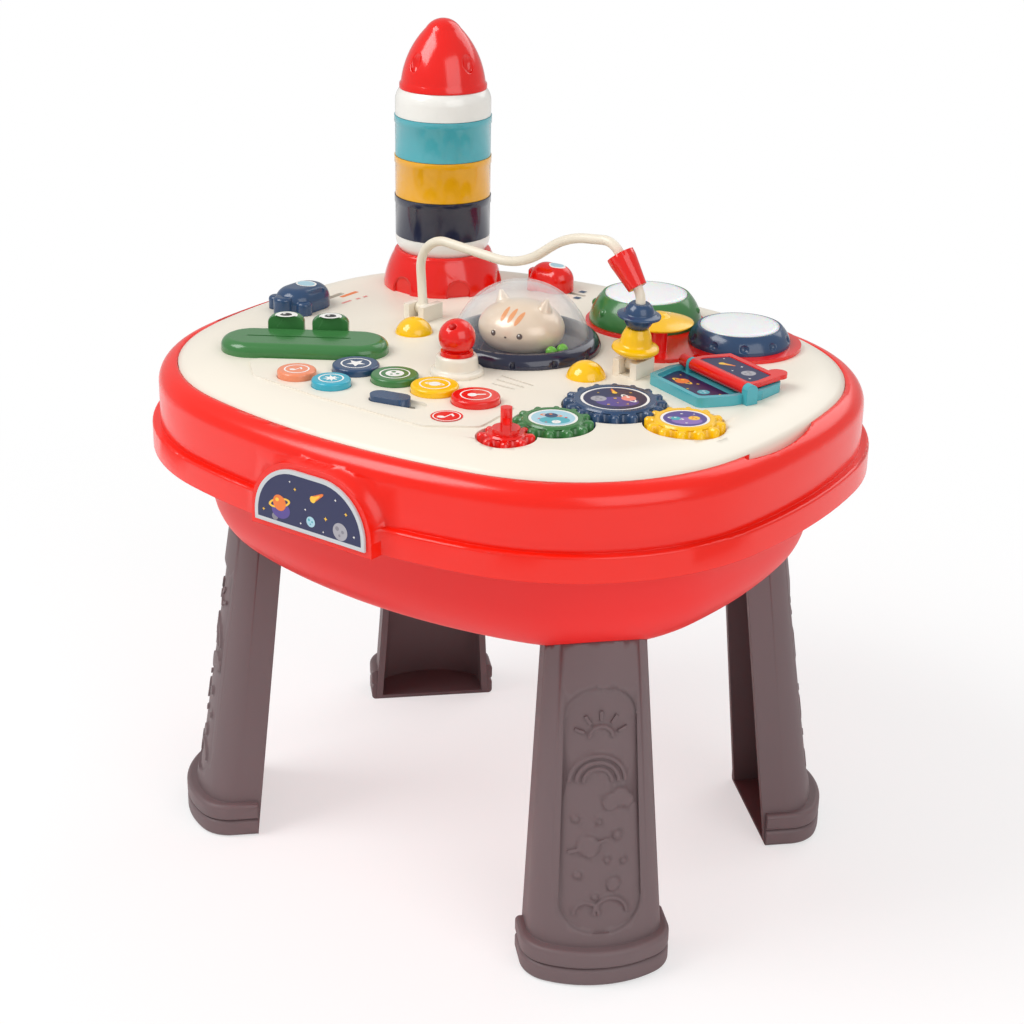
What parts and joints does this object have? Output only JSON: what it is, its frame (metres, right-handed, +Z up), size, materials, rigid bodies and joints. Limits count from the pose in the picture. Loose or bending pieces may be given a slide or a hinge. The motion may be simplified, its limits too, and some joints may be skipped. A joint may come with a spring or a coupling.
{
  "type": "musical activity table",
  "caption": "Toddler activity table: red basin on grey legs with a lift-off cream board of gears, music keys, drums, bead wire, stacking rocket, book and sliders.",
  "frame": {"origin": "on the floor under the middle of the table", "axes": "+Z up, +X along the table's length, -Y towards the side with the badge"},
  "size_m": [0.471, 0.4194, 0.5457],
  "materials": {
    "rim_red": "glossy moulded",
    "basin_red": "satin moulded",
    "leg_brown": "fine matte moulded",
    "badge": "printed plate",
    "board_cream": "satin moulded",
    "cream": "satin moulded",
    "screw_steel": "zinc plated",
    "circuit_green": "laminate",
    "mat_rubber": "matt",
    "battery": "wrapped",
    "speaker_black": "matt",
    "base_grey": "matt moulded",
    "lamp_yellow": "glossy translucent",
    "red": "glossy moulded",
    "green": "glossy moulded",
    "denim": "glossy moulded",
    "navy": "glossy moulded",
    "yellow": "glossy moulded",
    "mustard": "glossy moulded",
    "teal": "glossy moulded",
    "white": "glossy moulded",
    "skin_white": "satin translucent",
    "peach": "glossy moulded",
    "cyan": "glossy moulded",
    "clear": "clear moulded plastic",
    "pearl": "pearl moulded",
    "bead_mix": "glossy moulded",
    "wire_cream": "coated",
    "rod_steel": "drawn"
  },
  "bodies": {
    "table": {"rim": "rim_red", "basin": "basin_red", "leg_front": "leg_brown", "leg_right": "leg_brown", "leg_back": "leg_brown", "leg_left": "leg_brown", "leg_screws": "screw_steel", "rim_screws": "screw_steel", "badge_plate": "badge"},
    "board": {"activity_board": "board_cream", "board_base": "base_grey", "board_screws": "screw_steel", "battery_door": "base_grey", "batteries": "battery", "circuit_board": "circuit_green", "keypad_mat": "mat_rubber", "speaker": "speaker_black", "light_domes": "lamp_yellow", "drum_tray": "red", "green_drum_shell": "green", "navy_drum_shell": "denim", "frog_body": "green", "frog_eyes": "green", "rocket_base": "red", "arch_clevises": "cream", "book_tray": "teal", "book_rod": "rod_steel", "knob_cup": "cream"},
    "dome": {"dome_ring": "navy", "clear_dome": "clear", "cat_head": "pearl", "rattle_beads": "bead_mix"},
    "wire": {"bead_arch": "wire_cream"},
    "ball": {"ball_knob": "red"},
    "leaf": {"book_leaf": "red"},
    "gear_navy_body": {"gear_navy": "denim"},
    "gear_green_body": {"gear_green": "green"},
    "gear_yellow_body": {"gear_yellow": "yellow"},
    "gear_red_body": {"gear_red": "red"},
    "bead_red_body": {"bead_red": "red"},
    "bead_planet_body": {"bead_planet": "denim"},
    "bead_saucer_body": {"bead_saucer": "yellow"},
    "cup_lower_body": {"cup_lower": "white"},
    "cup_navy_body": {"cup_navy": "navy"},
    "cup_mustard_body": {"cup_mustard": "mustard"},
    "cup_teal_body": {"cup_teal": "teal"},
    "cup_top_body": {"cup_top": "white"},
    "nose_cone_body": {"nose_cone": "red"},
    "key_peach_body": {"key_peach": "peach"},
    "key_cyan_body": {"key_cyan": "cyan"},
    "key_navy_body": {"key_navy": "denim"},
    "key_green_body": {"key_green": "green"},
    "key_yellow_body": {"key_yellow": "yellow"},
    "key_red_body": {"key_red": "red"},
    "switch_knob_body": {"switch_knob": "denim"},
    "green_drum_skin_body": {"green_drum_skin": "skin_white"},
    "navy_drum_skin_body": {"navy_drum_skin": "skin_white"},
    "cymbal_body": {"cymbal": "yellow"},
    "slider_navy_body": {"slider_navy": "denim"},
    "slider_red_body": {"slider_red": "red"}
  },
  "joints": [
    {"name": "board_lift", "type": "slide", "parent": "table", "child": "board", "axis": [0, 0, 1], "range_m": [0, 0.12]},
    {"name": "gear_navy_spin", "type": "hinge", "parent": "board", "child": "gear_navy_body", "pos_m": [0.11729, -0.04877, 0.35], "axis": [0, 0, 1], "continuous": true},
    {"name": "gear_green_spin", "type": "hinge", "parent": "board", "child": "gear_green_body", "pos_m": [0.1059, -0.0993, 0.35], "axis": [0, 0, 1], "continuous": true},
    {"name": "gear_yellow_spin", "type": "hinge", "parent": "board", "child": "gear_yellow_body", "pos_m": [0.16908, -0.04994, 0.35], "axis": [0, 0, 1], "continuous": true},
    {"name": "gear_red_spin", "type": "hinge", "parent": "board", "child": "gear_red_body", "pos_m": [0.09701, -0.13522, 0.35], "axis": [0, 0, 1], "continuous": true},
    {"name": "dome_spin", "type": "hinge", "parent": "board", "child": "dome", "pos_m": [0.0012, 0.0116, 0.36], "axis": [0, 0, 1], "continuous": true},
    {"name": "ball_spin", "type": "hinge", "parent": "board", "child": "ball", "pos_m": [0.002, -0.0602, 0.365], "axis": [0, 0, 1], "continuous": true},
    {"name": "leaf_turn", "type": "hinge", "parent": "board", "child": "leaf", "pos_m": [0.148, 0.02, 0.3617], "axis": [0.9272, -0.3746, 0], "range_deg": [0, 178]},
    {"name": "wire_fold", "type": "hinge", "parent": "board", "child": "wire", "pos_m": [-0.0889, 0.0189, 0.36], "axis": [0.9986, -0.0523, 0], "range_deg": [-10, 10]},
    {"name": "saucer_spin", "type": "hinge", "parent": "wire", "child": "bead_saucer_body", "pos_m": [0.09285, 0.00937, 0.36], "axis": [0.0847, -0.0044, 0.9964], "continuous": true},
    {"name": "planet_spin", "type": "hinge", "parent": "wire", "child": "bead_planet_body", "pos_m": [0.09285, 0.00937, 0.36], "axis": [0.0847, -0.0044, 0.9964], "continuous": true},
    {"name": "red_bead_spin", "type": "hinge", "parent": "wire", "child": "bead_red_body", "pos_m": [0.09685, 0.00917, 0.407], "axis": [-0.6113, 0.032, 0.7907], "continuous": true},
    {"name": "cup_lower_lift", "type": "slide", "parent": "board", "child": "cup_lower_body", "axis": [0, 0, 1], "range_m": [0, 0.04]},
    {"name": "cup_navy_lift", "type": "slide", "parent": "cup_lower_body", "child": "cup_navy_body", "axis": [0, 0, 1], "range_m": [0, 0.04]},
    {"name": "cup_mustard_lift", "type": "slide", "parent": "cup_navy_body", "child": "cup_mustard_body", "axis": [0, 0, 1], "range_m": [0, 0.04]},
    {"name": "cup_teal_lift", "type": "slide", "parent": "cup_mustard_body", "child": "cup_teal_body", "axis": [0, 0, 1], "range_m": [0, 0.04]},
    {"name": "cup_top_lift", "type": "slide", "parent": "cup_teal_body", "child": "cup_top_body", "axis": [0, 0, 1], "range_m": [0, 0.04]},
    {"name": "nose_cone_lift", "type": "slide", "parent": "cup_top_body", "child": "nose_cone_body", "axis": [0, 0, 1], "range_m": [0, 0.04]},
    {"name": "key_peach_press", "type": "slide", "parent": "board", "child": "key_peach_body", "axis": [0, 0, 1], "range_m": [-0.0025, 0], "stiffness_N_per_m": 400},
    {"name": "key_cyan_press", "type": "slide", "parent": "board", "child": "key_cyan_body", "axis": [0, 0, 1], "range_m": [-0.0025, 0], "stiffness_N_per_m": 400},
    {"name": "key_navy_press", "type": "slide", "parent": "board", "child": "key_navy_body", "axis": [0, 0, 1], "range_m": [-0.0025, 0], "stiffness_N_per_m": 400},
    {"name": "key_green_press", "type": "slide", "parent": "board", "child": "key_green_body", "axis": [0, 0, 1], "range_m": [-0.0025, 0], "stiffness_N_per_m": 400},
    {"name": "key_yellow_press", "type": "slide", "parent": "board", "child": "key_yellow_body", "axis": [0, 0, 1], "range_m": [-0.0025, 0], "stiffness_N_per_m": 400},
    {"name": "key_red_press", "type": "slide", "parent": "board", "child": "key_red_body", "axis": [0, 0, 1], "range_m": [-0.0025, 0], "stiffness_N_per_m": 400},
    {"name": "green_drum_skin_press", "type": "slide", "parent": "board", "child": "green_drum_skin_body", "axis": [0, 0, 1], "range_m": [-0.002, 0], "stiffness_N_per_m": 900},
    {"name": "navy_drum_skin_press", "type": "slide", "parent": "board", "child": "navy_drum_skin_body", "axis": [0, 0, 1], "range_m": [-0.002, 0], "stiffness_N_per_m": 900},
    {"name": "cymbal_press", "type": "slide", "parent": "board", "child": "cymbal_body", "axis": [0, 0, 1], "range_m": [-0.002, 0], "stiffness_N_per_m": 900},
    {"name": "switch_slide", "type": "slide", "parent": "board", "child": "switch_knob_body", "axis": [0.9781, 0.2079, 0], "range_m": [0, 0.0104]},
    {"name": "slider_navy_slide", "type": "slide", "parent": "board", "child": "slider_navy_body", "axis": [0, 1, 0], "range_m": [0, 0.038]},
    {"name": "slider_red_slide", "type": "slide", "parent": "board", "child": "slider_red_body", "axis": [1, 0, 0], "range_m": [0, 0.024]}
  ],
  "couplings": [
    {"joint": "gear_green_spin", "follows": "gear_navy_spin", "ratio": -1.3333},
    {"joint": "gear_yellow_spin", "follows": "gear_navy_spin", "ratio": -1.3333},
    {"joint": "gear_red_spin", "follows": "gear_navy_spin", "ratio": 2}
  ]
}
